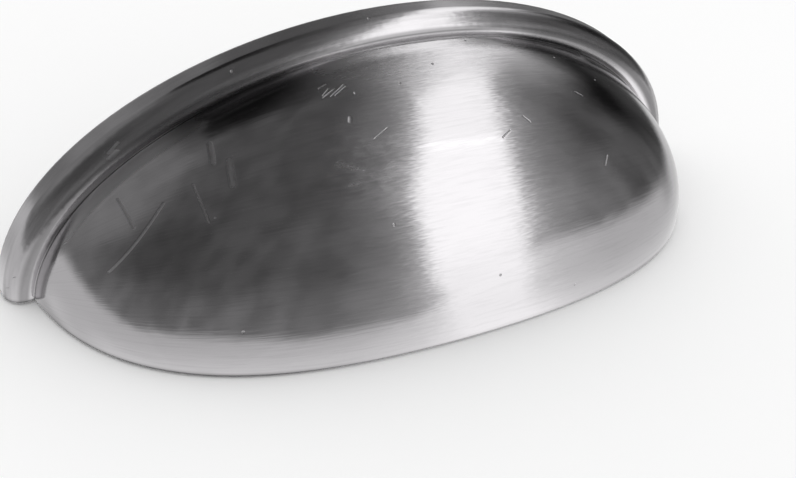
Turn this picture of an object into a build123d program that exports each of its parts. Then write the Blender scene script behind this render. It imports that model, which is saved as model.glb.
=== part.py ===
from build123d import *
import os
from math import cos, pi, sin

# Cup pull, die-cast in one piece: a hollow dome, open underneath and at the back, stands out of
# a rim that arches over it. The rim's front is a half-round bead and its back is the flat face
# that bears on the drawer front. Two posts inside the dome take the screws from behind.
#
# Frame: the origin is midway between the screw holes, in the back face. X runs along the pull,
# Y points back into the drawer front, Z up. The dome stands out towards -Y and opens downwards.

# Screw posts
hole_spacing = 76.2  # from one screw hole to the other
hole_height = 7.0  # from the underside up to the screw holes
hole_diameter = 4.2  # across the roots of a No. 8-32 thread
hole_depth = 9.0
post_width = 7.5  # at the back face
post_draft = 1.5  # degrees, each post thickens towards the front
root_round = 0.8  # where a post runs into the wall

# Rim
end_reach = 9.9  # from each screw hole out to the rim's end
rim_height = 28.75  # from the underside to the top of the arch
flange_depth = 2.0  # the straight part of the rim's edge, behind the bead
bead_radius = 2.0  # half-round front of the rim

# Dome
projection = 27.5  # from the back face to the front of the dome
dome_inset = 2.75  # from the rim's outer edge in to the dome
wall = 2.0
plan_fullness = 0.7  # handles of the plan outline: 0.55 would make it an ellipse
crown_power = 1.9  # of the dome's rise: 2 would make it an ellipse, less is leaner
slice_count = 9  # plan outlines that the dome is lofted through, below its apex
edge_break = 0.4  # on the edges of the underside

half_length = hole_spacing / 2 + end_reach
underside = Plane.XY.offset(-hole_height)


def dome_sections(skin):
    # Plan outlines of the dome, from its underside up, then its apex. They lie as deep inside
    # its outer surface as skin says.
    half_width = half_length - dome_inset - skin
    depth = projection - skin
    rise = rim_height - dome_inset - skin
    sections = []
    for level in range(slice_count):
        turn = pi / 2 * level / slice_count
        shrink = cos(turn) ** (2 / crown_power)
        lift = rise * sin(turn) ** (2 / crown_power)
        x, y = half_width * shrink, -depth * shrink
        with BuildSketch(underside.offset(lift)) as section:
            with BuildLine():
                Bezier((x, 0), (x, plan_fullness * y), (plan_fullness * x, y), (0, y))
                mirror(about=Plane.YZ)
                Line((-x, 0), (x, 0))
            make_face()
        sections.append(section.sketch)
    return sections + [Vertex(0, 0, rise - hole_height)]


with BuildPart() as dome:
    loft(dome_sections(0))
    lip = dome.faces().sort_by(Axis.Z)[0].edges().filter_by(lambda edge: edge.center().Y < 0)
    chamfer(lip, edge_break)

# The space inside the dome, which is open at the back and underneath
with BuildPart() as hollow:
    loft(dome_sections(wall))

# The rim: a half-round bead with straight sides, carried along half an ellipse, and a flat
# flange that fills the arch behind it. The hollow is cut out of the flange later.
with BuildPart() as rim:
    bead_middle = half_length - bead_radius
    arch_height = rim_height - bead_radius
    with BuildLine(Plane.XZ) as arch:
        EllipticalCenterArc((0, -hole_height), bead_middle, arch_height, arc_size=180)
    with BuildSketch(underside):
        with BuildLine():
            sides = Polyline(
                (bead_middle - bead_radius, -flange_depth),
                (bead_middle - bead_radius, 0),
                (half_length, 0),
                (half_length, -flange_depth),
            )
            ThreePointArc(sides @ 1, (bead_middle, -flange_depth - bead_radius), sides @ 0)
        make_face()
    sweep(path=arch.line)
    feet = rim.faces().group_by(Axis.Z)[0].edges().filter_by(lambda edge: edge.center().Y < 0)
    chamfer(feet, edge_break)
    with BuildSketch(Plane.XZ):
        with Locations((0, -hole_height)):
            Ellipse(bead_middle, arch_height)
            Rectangle(half_length * 2, arch_height, align=(Align.CENTER, Align.MAX), mode=Mode.SUBTRACT)
    extrude(amount=flange_depth)

# The posts run from the back face forwards into the middle of the dome's wall. Each is a round
# boss that runs out to the end of the dome at its full width.
with BuildPart() as posts:
    with BuildSketch(Plane.XZ):
        with Locations((hole_spacing / 2, 0)):
            Circle(post_width / 2)
            Rectangle(end_reach, post_width, align=(Align.MIN, Align.CENTER))
        mirror(about=Plane.YZ)
    extrude(amount=projection, taper=-post_draft)
    loft(dome_sections(wall / 2), mode=Mode.INTERSECT)

with BuildPart() as cup_pull:
    add(dome.part)
    add(rim.part)
    add(hollow.part, mode=Mode.SUBTRACT)
    foot = cup_pull.faces().sort_by(Axis.Z)[0]
    chamfer(foot.edges().sort_by_distance((0, 0, -hole_height))[0], edge_break)
    add(posts.part)
    roots = cup_pull.edges(Select.NEW).filter_by(lambda edge: edge.center().Y < 0)
    fillet(roots, root_round)
    with BuildSketch(Plane.XZ):
        with GridLocations(hole_spacing, 0, 2, 1):
            Circle(hole_diameter / 2)
    extrude(amount=hole_depth, mode=Mode.SUBTRACT)

cup_pull.part.label = "cup_pull"
os.makedirs("parts", exist_ok=True)
export_step(cup_pull.part, "parts/cup_pull.step")
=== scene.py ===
from math import cos, radians, sin

import bpy
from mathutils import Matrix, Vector


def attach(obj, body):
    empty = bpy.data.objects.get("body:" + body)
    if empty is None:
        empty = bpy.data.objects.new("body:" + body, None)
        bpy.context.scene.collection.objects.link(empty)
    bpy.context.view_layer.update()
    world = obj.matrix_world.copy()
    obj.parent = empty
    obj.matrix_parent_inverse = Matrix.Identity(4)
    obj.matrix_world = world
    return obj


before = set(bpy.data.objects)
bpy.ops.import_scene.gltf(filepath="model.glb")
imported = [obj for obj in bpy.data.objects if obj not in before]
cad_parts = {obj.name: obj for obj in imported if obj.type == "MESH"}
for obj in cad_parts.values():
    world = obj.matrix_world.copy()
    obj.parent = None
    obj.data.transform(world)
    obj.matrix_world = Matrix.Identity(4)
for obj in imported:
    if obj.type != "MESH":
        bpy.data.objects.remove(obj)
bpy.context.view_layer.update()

print("cup pull: the packed model is loaded")


def linearColour(hexCode):
    # sRGB hex to the linear RGBA that a shader socket takes
    values = [int(hexCode[i:i + 2], 16) / 255 for i in (1, 3, 5)]
    return [v / 12.92 if v <= 0.04045 else ((v + 0.055) / 1.055) ** 2.4 for v in values] + [1.0]


def newMaterial(name):
    material = bpy.data.materials.new(name)
    material.use_nodes = True
    material.node_tree.nodes.clear()
    return material, material.node_tree


modeNames = {"Math": "operation", "VectorMath": "operation", "MapRange": "interpolation_type"}


def addNode(kind, *values, inputs=None, **settings):
    # Adds a node to the tree of the material that is being made. kind is its type, and after a
    # dot its mode. values go to its inputs in their order, and inputs go there by name: a node or
    # a socket is linked, and a number, vector or colour is set.
    kind, _, mode = kind.partition(".")
    node = tree.nodes.new("ShaderNode" + kind)
    if mode:
        settings[modeNames[kind]] = mode
    for name, setting in settings.items():
        setattr(node, name, setting)
    sockets = [socket for socket in node.inputs if socket.enabled]
    given = list(zip(sockets, values))
    given += [(node.inputs[name], value) for name, value in (inputs or {}).items()]
    for socket, value in given:
        if isinstance(value, bpy.types.Node):
            value = next(output for output in value.outputs if output.enabled)
        if isinstance(value, bpy.types.NodeSocket):
            tree.links.new(value, socket)
        else:
            socket.default_value = value
    return node


def product(value, *others):
    # Of masks, it is the mask of where they all are
    for other in others:
        value = addNode("Math.MULTIPLY", value, other)
    return value


def between(mask, first, second):
    # first where the mask is 0, second where it is 1
    rest = addNode("Math.SUBTRACT", 1, mask)
    return addNode("Math.ADD", product(rest, first), product(mask, second))


def deselectAll():
    for thing in bpy.context.selected_objects:
        thing.select_set(False)


bpy.context.scene.view_settings.view_transform = "Standard"

# Camera, where the photograph was taken from
cameraView = {
    "place": (-0.071836, -0.101816, 0.076703),
    "turn": (54.242, -8.281, -31.307),  # degrees
    "lens": 51.7,
    "sensor": 36.0,
    "nearest": 0.005,
}
cameraData = bpy.data.cameras.new("camera")
cameraData.lens = cameraView["lens"]
cameraData.sensor_width = cameraView["sensor"]
cameraData.clip_start = cameraView["nearest"]
camera = bpy.data.objects.new("camera", cameraData)
camera.location = cameraView["place"]
camera.rotation_euler = [radians(angle) for angle in cameraView["turn"]]
bpy.context.scene.collection.objects.link(camera)
bpy.context.scene.camera = camera

# Light for the floor and the background: an even white sky
backdrop = {
    "skyColour": "#FFFFFF",
    "skyStrength": 1.0,
    "floorSize": 6.0,
    "floorHeight": -0.00705,  # just under the pull's underside
    "floorColour": "#FDFDFD",
}
world = bpy.data.worlds.new("whiteSky")
world.use_nodes = True
sky = world.node_tree.nodes["Background"]
sky.inputs["Color"].default_value = linearColour(backdrop["skyColour"])
sky.inputs["Strength"].default_value = backdrop["skyStrength"]
bpy.context.scene.world = world

deselectAll()
bpy.ops.mesh.primitive_plane_add(
    size=backdrop["floorSize"], location=(0, 0, backdrop["floorHeight"])
)
floor = bpy.context.object
floor.name = "floor"
floor.visible_glossy = False  # the studio's table stands in for it there
whitePaper, tree = newMaterial("matt white paper")
paper = addNode("BsdfDiffuse", linearColour(backdrop["floorColour"]))
clear = addNode("BsdfTransparent")  # from below, so that the underside can be seen
fromBelow = addNode("NewGeometry").outputs["Backfacing"]
addNode("OutputMaterial", addNode("MixShader", fromBelow, paper, clear))
floor.data.materials.append(whitePaper)

# In all the values below, a row of four numbers is a smooth change: where it starts, where it
# ends, and the value before and after. A row of two goes from 0 to 1.

# The studio that the metal reflects: a round room with dark walls, a pale table and a softbox.
# Only reflections see it. Directions are azimuth and elevation in degrees: azimuth 0 is straight
# in front of the pull, 90 past its right end.
studio = {
    "radius": 1.5,
    "facets": (64, 32),  # round it, and from its top to its foot
    "wallLight": 0.10,
    "horizonGlow": (0, 30, 0.10, 0),  # more, by elevation
    # lighter and darker places: direction, where the middle ends, where it ends, the difference
    "wallPatches": [
        (-132, 34, 12, 34, 0.12),
        (-166, 30, 10, 24, 0.09),
        (147, 24, 2, 11, 0.16),
        (180, -2, 12, 34, 0.4),
        (-70, 38, 0, 30, -0.03),
        (174, 25, 0, 26, 0.03),
        (122, 34, 0, 24, 0.42),
        (57, 20, 0, 20, 0.1),
        (5, 38, 0, 25, 0.04),
        (77, 4, 0, 18, -0.09),
        (110, 8, 8, 30, -0.15),
    ],
    "cloudSize": (9, 9, 3),
    "cloudDetail": 3.0,
    "clouds": (0.3, 0.7, 0.82, 1.25),  # the walls are uneven by this factor
    "darkest": 0.01,
    "tableLight": 0.66,
    "nearTableLight": (-40, -12, 0.27, 0),  # more, close in front
    "tablePatches": [
        (-138, -20, 0, 16, -0.2),
        (-131, -43, 4, 20, -0.45),
        (93, -7, 0, 13, -0.25),
        (-105, -35, 0, 20, -0.15),
    ],
    "underPull": (-60, -46, 0.3, 1),  # straight down, the pull shades the table
    # the table's far edge: azimuth, elevation
    "tableEdge": [
        (-180, -8), (-160, -4), (-145, 1), (-120, 2.5), (-90, -1), (-65, -6), (-30, -7),
        (-12, -11), (5, -15), (22, -14), (31, -4), (44, 2.5), (52, 1), (62, -1), (75, -3),
        (100, -8), (120, -10), (130, -30), (140, -48), (150, -46), (160, -16), (180, -8),
    ],
    "edgeRange": (-60, 20),  # the elevations at the bottom and the top of the edge's curve
    "edgeBlur": (-4, 4, 1, 0),
    # An open door high up behind the pull, dark inside
    "door": {
        "side": ((-161, 45), (-150, 57)),  # two directions on its left side
        "sideBlur": (-1, 1),
        "top": ((-152, 58), (175, 69.5)),  # and two on its top
        "topBlur": (-2, 2),
        "sill": (40, 45),  # by elevation
        "fadesTowards": (-168, 52),
        "fade": (8, 31, 0.88, 0),
    },
    # A strip softbox bent into a ring on the right
    "softbox": {
        "light": 1.65,
        "middle": (84, 4),
        "innerRadius": (25, 60, 43.5, 45.1),  # degrees from its middle, by elevation
        "innerFoot": (-40, 25, 6.5, 0),  # the inner edge is this much further out at its foot
        "innerBehind": (60, 112, 0, 3.0),  # and this much, by azimuth, behind the pull
        "innerBehindAbove": (25, 40),
        "outerRadius": (40, 62, 60.0, 57.8),
        "outerBehind": (95, 120, 0, -1.5),
        "outerBelow": (15, 40, 0.7, 0),  # the outer edge is this much further in, by elevation
        "edgeBlur": (-1.6, 1.6, 1, 0),
        "seam": ((54.0, 55.6), (62.5, 44.7)),  # two directions on the seam between its panels
        "panels": (-0.4, 0.4, 1, 0.94),  # the upper one is dimmer
        "seamLight": (0.2, 1.0, 0.4, 0),
        # where it fades out: direction, and how far from there it is gone and whole
        "farEnds": [(140, 5, 6, 28), (138, -27, 18, 40)],
        "dimEnd": (138, -27),  # towards here it is dimmer too
        "dimmer": (45, 80, 0.75, 1),
        "dimFoot": (-40, 20, 0.45, 1),  # and, by elevation, towards its foot
        "glows": [(0, 18, 0.2, 0), (0, 6, 0.2, 0)],  # on the walls, by degrees from its edge
        "glowFade": 2,  # the glow fades over this many times the reach of a far end
    },
}
door, softbox = studio["door"], studio["softbox"]
deselectAll()
bpy.ops.mesh.primitive_uv_sphere_add(
    segments=studio["facets"][0], ring_count=studio["facets"][1], radius=studio["radius"]
)
room = bpy.context.object
room.name = "studioRoom"
room.visible_camera = room.visible_diffuse = room.visible_transmission = False
room.visible_shadow = room.visible_volume_scatter = False
studioLight, tree = newMaterial("studio walls, table and softbox")

ray = addNode("VectorMath.NORMALIZE", addNode("TexCoord").outputs["Object"])
rayX, rayY, rayZ = addNode("SeparateXYZ", ray).outputs
rayFront = addNode("Math.MULTIPLY", rayY, -1)
elevation = addNode("Math.DEGREES", addNode("Math.ARCSINE", rayZ))
azimuth = addNode("Math.DEGREES", addNode("Math.ARCTAN2", rayX, rayFront))


def direction(azimuthThere, elevationThere):
    a, e = radians(azimuthThere), radians(elevationThere)
    return Vector((sin(a) * cos(e), -cos(a) * cos(e), sin(e)))


def degreesFrom(azimuthThere, elevationThere):
    alike = addNode("VectorMath.DOT_PRODUCT", ray, direction(azimuthThere, elevationThere))
    return addNode("Math.DEGREES", addNode("Math.ARCCOSINE", alike))


def pastLine(first, second):
    # Degrees past the line from one direction to another
    normal = direction(*first).cross(direction(*second)).normalized()
    past = addNode("VectorMath.DOT_PRODUCT", ray, normal)
    return addNode("Math.DEGREES", addNode("Math.ARCSINE", past))


def withPatches(light, patches):
    for patchAzimuth, patchElevation, core, end, extra in patches:
        away = degreesFrom(patchAzimuth, patchElevation)
        patch = addNode("MapRange.SMOOTHSTEP", away, core, end, extra, 0)
        light = addNode("Math.ADD", light, patch)
    return light


# Walls
horizon = addNode("MapRange.SMOOTHSTEP", elevation, *studio["horizonGlow"])
walls = withPatches(addNode("Math.ADD", studio["wallLight"], horizon), studio["wallPatches"])
inDoor = product(
    addNode("MapRange.SMOOTHSTEP", pastLine(*door["side"]), *door["sideBlur"]),
    addNode("MapRange.SMOOTHSTEP", pastLine(*door["top"]), *door["topBlur"]),
    addNode("MapRange.SMOOTHSTEP", elevation, *door["sill"]),
    addNode("MapRange.SMOOTHSTEP", degreesFrom(*door["fadesTowards"]), *door["fade"]),
)
cloudPlace = addNode("VectorMath.MULTIPLY", ray, studio["cloudSize"])
clouds = addNode("TexNoise", cloudPlace, inputs={"Scale": 1.0, "Detail": studio["cloudDetail"]})
clouds = addNode("MapRange.SMOOTHSTEP", clouds, *studio["clouds"])
walls = product(walls, clouds, addNode("Math.SUBTRACT", 1, inDoor))
walls = addNode("Math.MAXIMUM", walls, studio["darkest"])

# Table
nearLight = addNode("MapRange.SMOOTHSTEP", elevation, *studio["nearTableLight"])
table = withPatches(addNode("Math.ADD", studio["tableLight"], nearLight), studio["tablePatches"])
table = product(table, addNode("MapRange.SMOOTHSTEP", elevation, *studio["underPull"]))
lowest, highest = studio["edgeRange"]
fromBack = addNode("Math.DIVIDE", addNode("Math.ADD", azimuth, 180), 360)
edge = addNode("FloatCurve", inputs={"Value": fromBack})
curve = edge.mapping.curves[0]
points = [((a + 180) / 360, (e - lowest) / (highest - lowest)) for a, e in studio["tableEdge"]]
while len(curve.points) < len(points):
    curve.points.new(0.5, 0.5)
for point, place in zip(curve.points, points):
    point.location = place
edge.mapping.update()
edgeElevation = addNode("Math.MULTIPLY", edge, highest - lowest)
edgeElevation = addNode("Math.ADD", edgeElevation, lowest)
aboveEdge = addNode("Math.SUBTRACT", elevation, edgeElevation)
onTable = addNode("MapRange.SMOOTHSTEP", aboveEdge, *studio["edgeBlur"])
light = between(onTable, walls, table)

# Softbox
inner = addNode(
    "Math.ADD",
    addNode("MapRange.SMOOTHSTEP", elevation, *softbox["innerRadius"]),
    addNode("MapRange.SMOOTHSTEP", elevation, *softbox["innerFoot"]),
)
innerBehind = product(
    addNode("MapRange.SMOOTHSTEP", azimuth, *softbox["innerBehind"]),
    addNode("MapRange.SMOOTHSTEP", elevation, *softbox["innerBehindAbove"]),
)
inner = addNode("Math.ADD", inner, innerBehind)
outer = addNode(
    "Math.ADD",
    addNode("MapRange.SMOOTHSTEP", elevation, *softbox["outerRadius"]),
    addNode("MapRange.SMOOTHSTEP", azimuth, *softbox["outerBehind"]),
)
outerBelow = addNode("MapRange.SMOOTHSTEP", elevation, *softbox["outerBelow"])
outer = addNode("Math.SUBTRACT", outer, outerBelow)
fromMiddle = degreesFrom(*softbox["middle"])
outside = addNode(
    "Math.MAXIMUM",
    addNode("Math.SUBTRACT", fromMiddle, outer),
    addNode("Math.SUBTRACT", inner, fromMiddle),
)
ring = addNode("MapRange.SMOOTHSTEP", outside, *softbox["edgeBlur"])
wide, narrow = [addNode("MapRange.SMOOTHSTEP", outside, *row) for row in softbox["glows"]]
glow = addNode("Math.ADD", wide, narrow)
for endAzimuth, endElevation, gone, full in softbox["farEnds"]:
    fromEnd = degreesFrom(endAzimuth, endElevation)
    ring = product(ring, addNode("MapRange.SMOOTHSTEP", fromEnd, gone, full))
    glowEnd = full * softbox["glowFade"]
    glow = product(glow, addNode("MapRange.SMOOTHSTEP", fromEnd, full, glowEnd))
ring = product(
    ring,
    addNode("MapRange.SMOOTHSTEP", degreesFrom(*softbox["dimEnd"]), *softbox["dimmer"]),
    addNode("MapRange.SMOOTHSTEP", elevation, *softbox["dimFoot"]),
)
fromSeam = pastLine(*softbox["seam"])
awayFromSeam = addNode("Math.ABSOLUTE", fromSeam)
panels = addNode(
    "Math.ADD",
    addNode("MapRange.SMOOTHSTEP", fromSeam, *softbox["panels"]),
    addNode("MapRange.SMOOTHSTEP", awayFromSeam, *softbox["seamLight"]),
)
light = between(ring, addNode("Math.ADD", light, glow), product(panels, softbox["light"]))
addNode("OutputMaterial", addNode("Emission", inputs={"Strength": light}))
studioLight.cycles.emission_sampling = "NONE"
room.data.materials.append(studioLight)
print("cup pull: camera, floor and studio are made")

# Nickel plate on a zinc die-casting, brushed and lacquered: satin along the lines, so that a
# light's edge is ragged across them and stretched along them. The hollow is as cast under its
# plate, grainy and dull, and the back is linished flat. Real brush lines are under 0.05 mm apart,
# too fine to show, so they are drawn coarser. Lengths are millimetres.
finish = {
    # The pull's own shape, in millimetres, so that its finish can follow it
    "shape": {
        "underside": -7,
        "domeHalfLength": 45.25,
        "domeDepth": 27.5,
        "domeHeight": 26.0,
        "planPower": 2.556,
        "risePower": 1.9,
        "archHalfLength": 46.0,  # of the line that the bead's middle follows
        "archHeight": 26.75,
        "domeTurnRadius": 25,  # makes millimetres of an angle round the long axis
        "archTurnRadius": 38,  # and of one round the arch
        "inside": (0.94, 0.955, 1, 0),  # by the share of the way out to the dome's outside
        "beforeBack": (-0.06, -0.03, 1, 0),  # by y
        "atBack": (-0.06, -0.03),
        "beadFront": (-4.15, -4.05),  # by y
        "beadInside": (-1.2, -1.0),  # by the way out of the arch
        "aboveUnderside": (0.005, 0.03),  # by height
    },
    "nickel": {
        "colour": "#C9C7C9",
        "paintedHighlight": "#F1EFF1",  # painted highlight: a lighter colour where the dome runs into the bead, towards the ends
        "anisotropy": 0.5,
        "edgeRound": 0.0003,  # metres, as is the next
        "bumpDepth": 0.000006,
        "samples": 8,  # for the rounded edges and the creases
        # roughness: between the brush lines and on them, then of other places
        "gloss": (0.4, 0.7, 0.095, 0.15),
        "castRoughness": 0.42,
        "backRoughness": 0.27,
        # brush lines: spacing along and across them, seed, detail
        "leanLines": (1.2, 0.16, 3.0, 1.0),
        "reliefLines": (8, 0.3, 7.0, 3.0),
        "glossLines": (4, 0.3, 11.0, 3.0),
        "toneLines": (7, 0.45, 17.0, 3.0),
        "lineTilt": 0.015,  # how far a line leans along its length
        "lineTone": (0.25, 0.75, 0.95, 1.05),
        "castGrain": {"Scale": 2.5, "Detail": 3.0},
        "castRelief": 3,
        # it was brushed again by hand near its top
        "topHeight": (15.8, 17.6),  # by z
        "topRelief": 2,
        "topDullness": 0.14,
        # soft dull clouds from handling
        "clouds": {"Scale": 0.12, "Detail": 3.0},
        "cloudDullness": (0.35, 0.7, -0.06, 0.1),
        # and a scuffed patch: its middle, its reach, the streaks in it
        "scuffMiddle": (-14, -16, 12),
        "scuffReach": (0, 8.5, 1, 0),
        "scuffLines": (2.2, 1.6, 5.0, 3.0, 0.5),
        "scuffStreaks": (0.2, 0.9),
        "scuffDullness": 0.24,
        # small marks: turn in degrees, length, width, spacing, share of the places that have one
        "fineScratches": [(25, 2.2, 0.16, 5.0, 0.12), (-35, 1.5, 0.14, 6.0, 0.1)],
        "specks": (0, 0.3, 0.3, 6.0, 0.22),
        "markEdge": (0.3, 0.6),  # shares of the width
        "markDepth": 4,
        "markDullness": 0.42,
        # single scratches: from and to, along the lines and across them, and their width
        "scratches": [
            (-36.8, 27.9, -36.5, 21.6, 0.22), (-39.6, 15.6, -33.4, 23.7, 0.22),
            (-30.3, 24.8, -30.2, 19.4, 0.2), (-27.2, 29.6, -27.8, 26.6, 0.4),
            (-26.3, 26.2, -26.9, 23.0, 0.5), (-14.4, 30.6, -13.4, 31.3, 0.12),
            (-13.6, 30.2, -11.6, 31.3, 0.13), (-13.1, 30.2, -11.5, 31.0, 0.12),
            (-14.4, 31.7, -13.4, 32.0, 0.12), (4.7, 21.3, 6.0, 21.9, 0.15),
            (8.6, 23.3, 9.3, 22.5, 0.12), (19.9, 16.9, 19.1, 15.8, 0.2),
            (-12.8, 27.0, -13.0, 26.6, 0.3), (93.3, 0.8, 91.6, 1.0, 0.15),
            (93.9, 0.4, 92.6, 0.55, 0.3),
        ],
    },
    # What the buffing wheel did to the bead and beside it, and the shade and highlight painted
    # there
    "wheel": {
        "flangeEnd": (-2.6, -2.1, 1, 0),  # by y: not on the flange's straight edge
        # it left the bead's crest nearer the dome than a half-round has it
        "crestLean": (1.0, 1.8, 0.2, 0),  # by the way out of the arch, as is the next
        "crestInside": (-0.85, -0.6),
        "crestFront": (-4.2, -4.1),  # by y
        # it softened the dome where it runs into the bead, in the middle and towards the ends
        "domeInside": (-1.0, -0.85, 1, 0),  # by the way out of the arch
        "runOutFront": (-6.2, -4.8),  # by y
        "runOutMiddle": (8, 14, 1, 0),  # by the distance from the pull's middle, as is the next
        "runOutEnds": (25, 29),
        "runOutLean": -0.4,
        "runOutDull": (8, 14),  # also from the middle, as is the painted highlight
        "runOutDullness": 0.3,
        # where the painted highlight begins and where it is whole, from the middle
        "highlightEnds": (27, 31),
        # it didn't reach the bead's inner slope where the arch turns: duller there, and painted
        # shade darkens it
        "slopeOutside": (0.1, 1.0, 1, 0),  # by the way out of the arch, as is the next
        "slopeInside": (-1.05, -0.85),
        "slopeFront": (-4.3, -4.1),  # by y, as is the next
        "slopeBack": (-2.4, -2.0, 1, 0),
        "slopeStart": (12, 20),  # from the middle, as is the next
        "slopeEnd": (31, 39, 1, 0),
        "slopeShade": 0.5,
        "slopeDullness": 0.1,
        "beadDullness": 0.06,
        # painted shade: the crest is a little dark, and so is the inside of the bead at its top
        "crestStart": (-0.3, 0),  # by the way out of the arch, as are the next two
        "crestShade": (0.3, 0.65, 0.42, 0),
        "topShade": (-0.1, 0.2, 0.3, 0),
        "topEnd": (7, 14, 1, 0),  # from the middle
        # painted shade on the dome beside the bead
        "shadeBesideBead": (-8.5, -4.5, 0, 0.6),  # by y
        "shadeBesideBeadStart": (12, 18),  # from the middle
        "shadeBesideBeadLeftEnd": (-33, -28),  # by x, as is the next
        "shadeBesideBeadRightEnd": (34, 40, 1, 0),
    },
    # Painted shade in the corner between the bead and the dome, and along the lip
    "paintedShade": {
        "creaseReach": 0.00025,  # metres
        "creaseShade": (0.36, 0.56, 0.92, 0),  # by how open the place is
        "creaseMiddle": (8, 15, 0.55, 1),  # less of it near the middle
        "lipHeight": (0, 0.9, 1, 0),  # by height
        "lipShade": (8, 32, 0.35, 0.85),  # from the middle
        "undersideShare": 0.3,  # of it on the flat underside
    },
}
shape, nickel = finish["shape"], finish["nickel"]
wheel, paintedShade = finish["wheel"], finish["paintedShade"]
brushedNickel, tree = newMaterial("brushed nickel plate")
objectPlace = addNode("TexCoord").outputs["Object"]
millimetres = addNode("VectorMath.MULTIPLY", objectPlace, (1000, 1000, 1000))
x, y, z = addNode("SeparateXYZ", millimetres).outputs
fromUnderside = addNode("Math.ADD", z, -shape["underside"])
fromCentre = addNode("Math.ABSOLUTE", x)


def shareOf(value, size, power):
    share = addNode("Math.DIVIDE", addNode("Math.ABSOLUTE", value), size)
    return addNode("Math.POWER", share, power)


# Where on the pull: in the hollow, on the back face, or on the bead and its flange
lengthShare = shareOf(x, shape["domeHalfLength"], shape["planPower"])
depthShare = shareOf(y, shape["domeDepth"], shape["planPower"])
heightShare = shareOf(fromUnderside, shape["domeHeight"], shape["risePower"])
plan = addNode("Math.ADD", lengthShare, depthShare)
plan = addNode("Math.POWER", plan, shape["risePower"] / shape["planPower"])
skin = addNode("Math.ADD", plan, heightShare)  # 1 on the dome's outside
inHollow = product(
    addNode("MapRange.SMOOTHSTEP", skin, *shape["inside"]),
    addNode("MapRange.SMOOTHSTEP", y, *shape["beforeBack"]),
)
onBack = addNode("MapRange.SMOOTHSTEP", y, *shape["atBack"])
brushed = addNode("Math.SUBTRACT", 1, inHollow)
archX = addNode("Math.DIVIDE", x, shape["archHalfLength"])
archZ = addNode("Math.DIVIDE", fromUnderside, shape["archHeight"])
aroundArch = addNode("Math.ADD", product(archX, archX), product(archZ, archZ))
aroundArch = addNode("Math.SUBTRACT", addNode("Math.SQRT", aroundArch), 1)
outOfArch = addNode("Math.MULTIPLY", aroundArch, shape["archHeight"])
onBead = product(
    addNode("MapRange.SMOOTHSTEP", y, *shape["beadFront"]),
    addNode("MapRange.SMOOTHSTEP", outOfArch, *shape["beadInside"]),
)
# 0 on the flat underside, which the arch meets square
aboveUnderside = addNode("MapRange.SMOOTHSTEP", fromUnderside, *shape["aboveUnderside"])

# Lines run from end to end over the dome, each in a plane through the pull's long axis, and
# round the arch on the bead
alongArch = addNode(
    "CombineXYZ",
    addNode("Math.DIVIDE", archZ, -shape["archHeight"]),
    0,
    addNode("Math.DIVIDE", archX, shape["archHalfLength"]),
)
alongArch = addNode("VectorMath.NORMALIZE", alongArch)
alongFrom = product(onBead, aboveUnderside)
along = addNode("Mix", alongFrom, (1, 0, 0), alongArch, data_type="VECTOR")
frontwards = addNode("Math.MULTIPLY", y, -1)
roundAxis = addNode("Math.ARCTAN2", fromUnderside, frontwards)
roundAxis = addNode("Math.MULTIPLY", roundAxis, shape["domeTurnRadius"])
roundArch = addNode("Math.ARCTAN2", archZ, archX)
roundArch = addNode("Math.MULTIPLY", roundArch, shape["archTurnRadius"])
domePlace = addNode("CombineXYZ", x, roundAxis)
beadPlace = addNode("CombineXYZ", roundArch, outOfArch, y)
linePlace = addNode("Mix", onBead, domePlace, beadPlace, data_type="VECTOR")
alongLines, acrossLines = addNode("SeparateXYZ", linePlace).outputs[:2]
flatPlace = addNode("CombineXYZ", alongLines, acrossLines)


def lineNoise(spacingAlong, spacingAcross, seed, detail, roughness=0.6):
    # Streaks along the brushing
    squeeze = (1 / spacingAlong, 1 / spacingAcross, 1 / spacingAcross)
    place = addNode("VectorMath.MULTIPLY", linePlace, squeeze)
    place = addNode("VectorMath.ADD", place, (0, 0, seed))
    return addNode(
        "TexNoise", place, inputs={"Scale": 1.0, "Detail": detail, "Roughness": roughness}
    )


def marks(turn, length, width, spacing, share):
    # Scattered strokes of one length and width: 1 on them, 0 between them
    stretch = (length / width * spacing, spacing, 1)
    place = addNode(
        "Mapping", domePlace,
        inputs={"Rotation": (0, 0, radians(turn)), "Scale": stretch},
        vector_type="TEXTURE",
    )
    cells = addNode("TexVoronoi", place, inputs={"Scale": 1.0}, voronoi_dimensions="2D")
    chance = addNode("SeparateXYZ", cells.outputs["Color"])
    start, end = [width / spacing * edgeShare for edgeShare in nickel["markEdge"]]
    mark = addNode("MapRange.SMOOTHSTEP", cells.outputs["Distance"], start, end, 1, 0)
    return product(addNode("Math.LESS_THAN", chance, share), mark)


def stroke(startAlong, startAcross, endAlong, endAcross, width):
    # 1 on a straight scratch, 0 beside it
    run = (endAlong - startAlong, endAcross - startAcross, 0)
    fromStart = addNode("VectorMath.SUBTRACT", flatPlace, (startAlong, startAcross, 0))
    share = addNode("VectorMath.DOT_PRODUCT", fromStart, run)
    share = addNode("Math.DIVIDE", share, run[0] ** 2 + run[1] ** 2)
    share = addNode("Math.MINIMUM", addNode("Math.MAXIMUM", share, 0), 1)
    nearest = addNode("VectorMath.MULTIPLY", addNode("CombineXYZ", share, share), run)
    away = addNode("VectorMath.SUBTRACT", fromStart, nearest)
    away = addNode("Math.SQRT", addNode("VectorMath.DOT_PRODUCT", away, away))
    return addNode("MapRange.SMOOTHSTEP", away, 0, width, 1, 0)


# Which way the surface faces: rounded edges, lines that lean, and what the wheel did
nearTop = addNode("MapRange.SMOOTHSTEP", z, *nickel["topHeight"])
nearTop = product(brushed, nearTop, addNode("Math.SUBTRACT", 1, onBead))
lean = addNode("Math.SUBTRACT", lineNoise(*nickel["leanLines"]), 0.5)
lean = product(lean, nickel["lineTilt"] * 2, addNode("Math.ADD", brushed, nearTop))
leaning = addNode("VectorMath.SCALE", along, lean)

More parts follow.
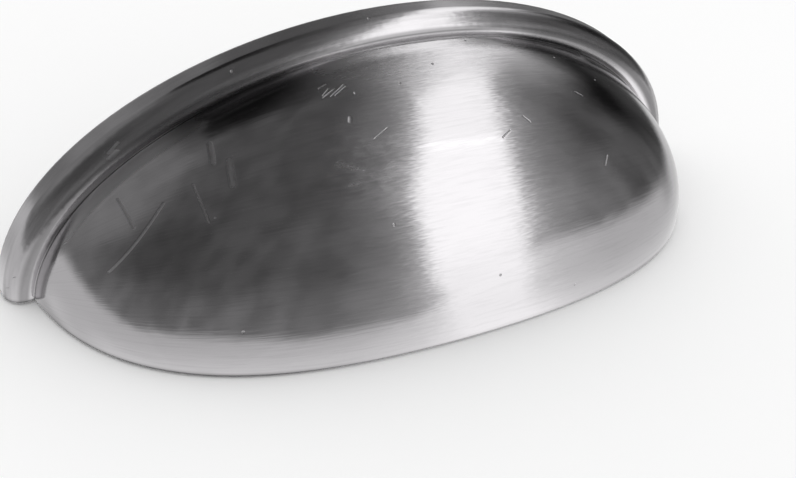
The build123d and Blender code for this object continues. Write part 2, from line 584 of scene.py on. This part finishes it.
outwards = addNode(
    "CombineXYZ",
    addNode("Math.DIVIDE", archX, shape["archHalfLength"]),
    0,
    addNode("Math.DIVIDE", archZ, shape["archHeight"]),
)
outwards = addNode("VectorMath.NORMALIZE", outwards)
beforeFlange = addNode("MapRange.SMOOTHSTEP", y, *wheel["flangeEnd"])
crestLean = product(
    addNode("MapRange.SMOOTHSTEP", outOfArch, *wheel["crestLean"]),
    addNode("MapRange.SMOOTHSTEP", outOfArch, *wheel["crestInside"]),
    addNode("MapRange.SMOOTHSTEP", y, *wheel["crestFront"]),
    beforeFlange,
)
outwards = addNode("VectorMath.SCALE", outwards, crestLean)

besideBead = addNode("MapRange.SMOOTHSTEP", outOfArch, *wheel["domeInside"])
besideBead = product(brushed, besideBead, beforeFlange)
inMiddle = addNode("MapRange.SMOOTHSTEP", fromCentre, *wheel["runOutMiddle"])
atEnds = addNode("MapRange.SMOOTHSTEP", fromCentre, *wheel["runOutEnds"])
runOut = addNode("MapRange.SMOOTHSTEP", y, *wheel["runOutFront"])
runOut = product(besideBead, runOut, addNode("Math.ADD", inMiddle, atEnds))
forwards = addNode("CombineXYZ", 0, addNode("Math.MULTIPLY", runOut, wheel["runOutLean"]))

rounded = addNode("Bevel", nickel["edgeRound"], samples=nickel["samples"])
leaned = addNode("VectorMath.ADD", rounded, leaning)
leaned = addNode("VectorMath.ADD", leaned, addNode("VectorMath.ADD", outwards, forwards))
leaned = addNode("VectorMath.NORMALIZE", leaned)

# Relief: brush lines, the cast grain in the hollow, and marks from use
topRelief = addNode("Math.ADD", 1, addNode("Math.MULTIPLY", nearTop, nickel["topRelief"]))
lines = product(lineNoise(*nickel["reliefLines"]), topRelief)
grain = addNode("TexNoise", millimetres, inputs=nickel["castGrain"])
relief = between(inHollow, lines, addNode("Math.MULTIPLY", grain, nickel["castRelief"]))
rising, falling = [marks(*row) for row in nickel["fineScratches"]]
scratches = addNode("Math.ADD", rising, falling)
for scratch in nickel["scratches"]:
    scratches = addNode("Math.ADD", scratches, product(brushed, stroke(*scratch)))
specks = marks(*nickel["specks"])
depth = addNode("Math.MULTIPLY", addNode("Math.ADD", specks, scratches), nickel["markDepth"])
bump = addNode(
    "Bump",
    inputs={
        "Height": addNode("Math.SUBTRACT", relief, depth),
        "Normal": leaned,
        "Strength": 1.0,
        "Distance": nickel["bumpDepth"],
    },
)

# Gloss: duller in the lines, in clouds, on the scuff and the marks, and where the wheel missed
clouds = addNode("TexNoise", millimetres, inputs=nickel["clouds"])
clouds = addNode("MapRange.SMOOTHSTEP", clouds, *nickel["cloudDullness"])
dullness = addNode("Math.ADD", lineNoise(*nickel["glossLines"]), clouds)
gloss = addNode("MapRange.SMOOTHSTEP", dullness, *nickel["gloss"])
fromScuff = addNode("VectorMath.DISTANCE", millimetres, nickel["scuffMiddle"])
scuffLines = lineNoise(*nickel["scuffLines"])
scuff = product(
    addNode("MapRange.SMOOTHSTEP", fromScuff, *nickel["scuffReach"]),
    addNode("MapRange.SMOOTHSTEP", scuffLines, *nickel["scuffStreaks"]),
)
allMarks = addNode("Math.ADD", scratches, specks)
for mask, extra in (
    (scuff, nickel["scuffDullness"]),
    (nearTop, nickel["topDullness"]),
    (allMarks, nickel["markDullness"]),
):
    gloss = addNode("Math.ADD", gloss, addNode("Math.MULTIPLY", mask, extra))
gloss = between(inHollow, gloss, nickel["castRoughness"])
gloss = between(onBack, gloss, nickel["backRoughness"])
innerSlope = product(
    addNode("MapRange.SMOOTHSTEP", outOfArch, *wheel["slopeOutside"]),
    addNode("MapRange.SMOOTHSTEP", outOfArch, *wheel["slopeInside"]),
    addNode("MapRange.SMOOTHSTEP", y, *wheel["slopeFront"]),
    addNode("MapRange.SMOOTHSTEP", y, *wheel["slopeBack"]),
    addNode("MapRange.SMOOTHSTEP", fromCentre, *wheel["slopeStart"]),
    addNode("MapRange.SMOOTHSTEP", fromCentre, *wheel["slopeEnd"]),
)
runOutDull = addNode("MapRange.SMOOTHSTEP", fromCentre, *wheel["runOutDull"])
for mask, extra in (
    (innerSlope, wheel["slopeDullness"]),
    (onBead, wheel["beadDullness"]),
    (product(runOut, runOutDull), wheel["runOutDullness"]),
):
    gloss = addNode("Math.ADD", gloss, addNode("Math.MULTIPLY", mask, extra))

# Tone and painted shade, which darken the metal: random streaks along the lines, then painted
# shade in the crease, on the bead, beside it and along the lip
streaksAndPaintedShade = addNode("MapRange.SMOOTHSTEP", lineNoise(*nickel["toneLines"]), *nickel["lineTone"])
# painted shade: the metal is darker where ambient occlusion finds the crease between the bead and
# the dome
openness = addNode(
    "AmbientOcclusion", inputs={"Distance": paintedShade["creaseReach"]},
    samples=nickel["samples"], only_local=True,
).outputs["AO"]
crease = product(
    addNode("MapRange.SMOOTHSTEP", openness, *paintedShade["creaseShade"]),
    addNode("MapRange.SMOOTHSTEP", fromCentre, *paintedShade["creaseMiddle"]),
)
# painted shade on the bead's crest and on the inside of its top
crestShade = product(
    addNode("MapRange.SMOOTHSTEP", outOfArch, *wheel["crestStart"]),
    addNode("MapRange.SMOOTHSTEP", outOfArch, *wheel["crestShade"]),
)
topShade = product(
    addNode("MapRange.SMOOTHSTEP", outOfArch, *wheel["topShade"]),
    addNode("MapRange.SMOOTHSTEP", fromCentre, *wheel["topEnd"]),
)
beadShade = product(onBead, addNode("Math.ADD", crestShade, topShade), beforeFlange)
# painted shade: the dome is darker beside the bead
shadeBesideBead = product(
    addNode("MapRange.SMOOTHSTEP", y, *wheel["shadeBesideBead"]),
    besideBead,
    addNode("MapRange.SMOOTHSTEP", fromCentre, *wheel["shadeBesideBeadStart"]),
    addNode("MapRange.SMOOTHSTEP", x, *wheel["shadeBesideBeadLeftEnd"]),
    addNode("MapRange.SMOOTHSTEP", x, *wheel["shadeBesideBeadRightEnd"]),
)
# painted shade: darker towards the underside, a painted reflection of the pull's shadow on the
# table, with less of it on the flat underside
underShare = addNode("Math.MULTIPLY", aboveUnderside, 1 - paintedShade["undersideShare"])
paintedLipShade = product(
    addNode("MapRange.SMOOTHSTEP", fromUnderside, *paintedShade["lipHeight"]),
    addNode("MapRange.SMOOTHSTEP", fromCentre, *paintedShade["lipShade"]),
    addNode("Math.ADD", paintedShade["undersideShare"], underShare),
)
# painted shade on the bead's inner slope
slopeShade = addNode("Math.MULTIPLY", innerSlope, wheel["slopeShade"])
# each of these is painted shade
for darker in (crease, slopeShade, beadShade, shadeBesideBead, paintedLipShade):
    streaksAndPaintedShade = product(streaksAndPaintedShade, addNode("Math.SUBTRACT", 1, darker))

# painted highlight: the dome is lighter where it runs into the bead, towards the ends
paintedLight = product(runOut, addNode("MapRange.SMOOTHSTEP", fromCentre, *wheel["highlightEnds"]))
dull, highlightColour = linearColour(nickel["colour"]), linearColour(nickel["paintedHighlight"])
metal = addNode("Mix", paintedLight, dull, highlightColour, data_type="RGBA")
metal = addNode("Mix", streaksAndPaintedShade, (0, 0, 0, 1), metal, data_type="RGBA")
faceNormal = addNode("NewGeometry").outputs["Normal"]
across = addNode("VectorMath.CROSS_PRODUCT", faceNormal, along)
shader = addNode(
    "BsdfPrincipled",
    inputs={
        "Base Color": metal,
        "Metallic": 1.0,
        "Roughness": gloss,
        "Anisotropic": nickel["anisotropy"],
        "Normal": bump,
        "Tangent": addNode("VectorMath.NORMALIZE", across),
    },
)
addNode("OutputMaterial", shader)
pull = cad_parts["cup_pull"]
for slot in pull.material_slots:
    slot.material = brushedNickel
print("cup pull: the nickel is on")

# The thread in each screw hole: No. 8-32, right-handed, cut after casting
thread = {
    "holes": {"left": -0.0381, "right": 0.0381},
    "pitch": 0.000794,
    "turns": 9,
    "rootRadius": 0.00212,  # just inside the hole's wall
    "crestRadius": 0.00172,
    "baseWidth": 0.00066,
    "crestWidth": 0.0002,
    "deepEnd": -0.0081,  # middle of the first ridge, from the back face
    "steps": 48,  # around one turn
    "mergeDistance": 0.000001,
    "sharpFrom": 40,  # degrees between two faces
}


def cutThread(name, holeX):
    deselectAll()
    bpy.ops.mesh.primitive_plane_add(size=1, location=(holeX, 0, 0))
    ridge = bpy.context.object
    ridge.name = name
    # The plane becomes the ridge's section, wide at the wall and narrow at the crest
    height = thread["rootRadius"] - thread["crestRadius"]
    toWall = thread["rootRadius"] - height / 2
    narrowing = thread["crestWidth"] / thread["baseWidth"]
    hole = (holeX, 0, 0)
    bpy.ops.object.mode_set(mode="EDIT")
    bpy.ops.transform.resize(value=(height, thread["baseWidth"], 1), center_override=hole)
    bpy.ops.mesh.delete(type="ONLY_FACE")
    bpy.ops.mesh.select_all(action="DESELECT")
    bpy.ops.object.mode_set(mode="OBJECT")
    for point in ridge.data.vertices:
        point.select = point.co.x < 0
    bpy.ops.object.mode_set(mode="EDIT")
    bpy.ops.transform.resize(value=(1, narrowing, 1), center_override=hole)
    bpy.ops.mesh.select_all(action="SELECT")
    bpy.ops.transform.translate(value=(toWall, thread["deepEnd"], 0))
    bpy.ops.object.mode_set(mode="OBJECT")
    screw = ridge.modifiers.new("winding", "SCREW")
    screw.axis = "Y"
    screw.screw_offset = thread["pitch"]
    screw.iterations = thread["turns"]
    screw.steps = screw.render_steps = thread["steps"]
    bpy.ops.object.modifier_apply(modifier=screw.name)
    # Both ends are closed, and the faces turned outwards
    bpy.ops.object.mode_set(mode="EDIT")
    bpy.ops.mesh.select_all(action="SELECT")
    bpy.ops.mesh.remove_doubles(threshold=thread["mergeDistance"])
    bpy.ops.mesh.select_all(action="DESELECT")
    bpy.ops.mesh.select_mode(type="EDGE")
    bpy.ops.mesh.select_non_manifold()
    bpy.ops.mesh.edge_face_add()
    bpy.ops.mesh.select_all(action="SELECT")
    bpy.ops.mesh.normals_make_consistent(inside=False)
    bpy.ops.object.mode_set(mode="OBJECT")
    bpy.ops.object.transform_apply(location=True, rotation=True, scale=True)
    bpy.ops.object.shade_smooth_by_angle(angle=radians(thread["sharpFrom"]))
    ridge.data.materials.append(brushedNickel)
    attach(ridge, "root")
    return ridge


for side, holeX in thread["holes"].items():
    ridge = cutThread(side + "Thread", holeX)
    print("cup pull:", ridge.name, "has", len(ridge.data.polygons), "faces")
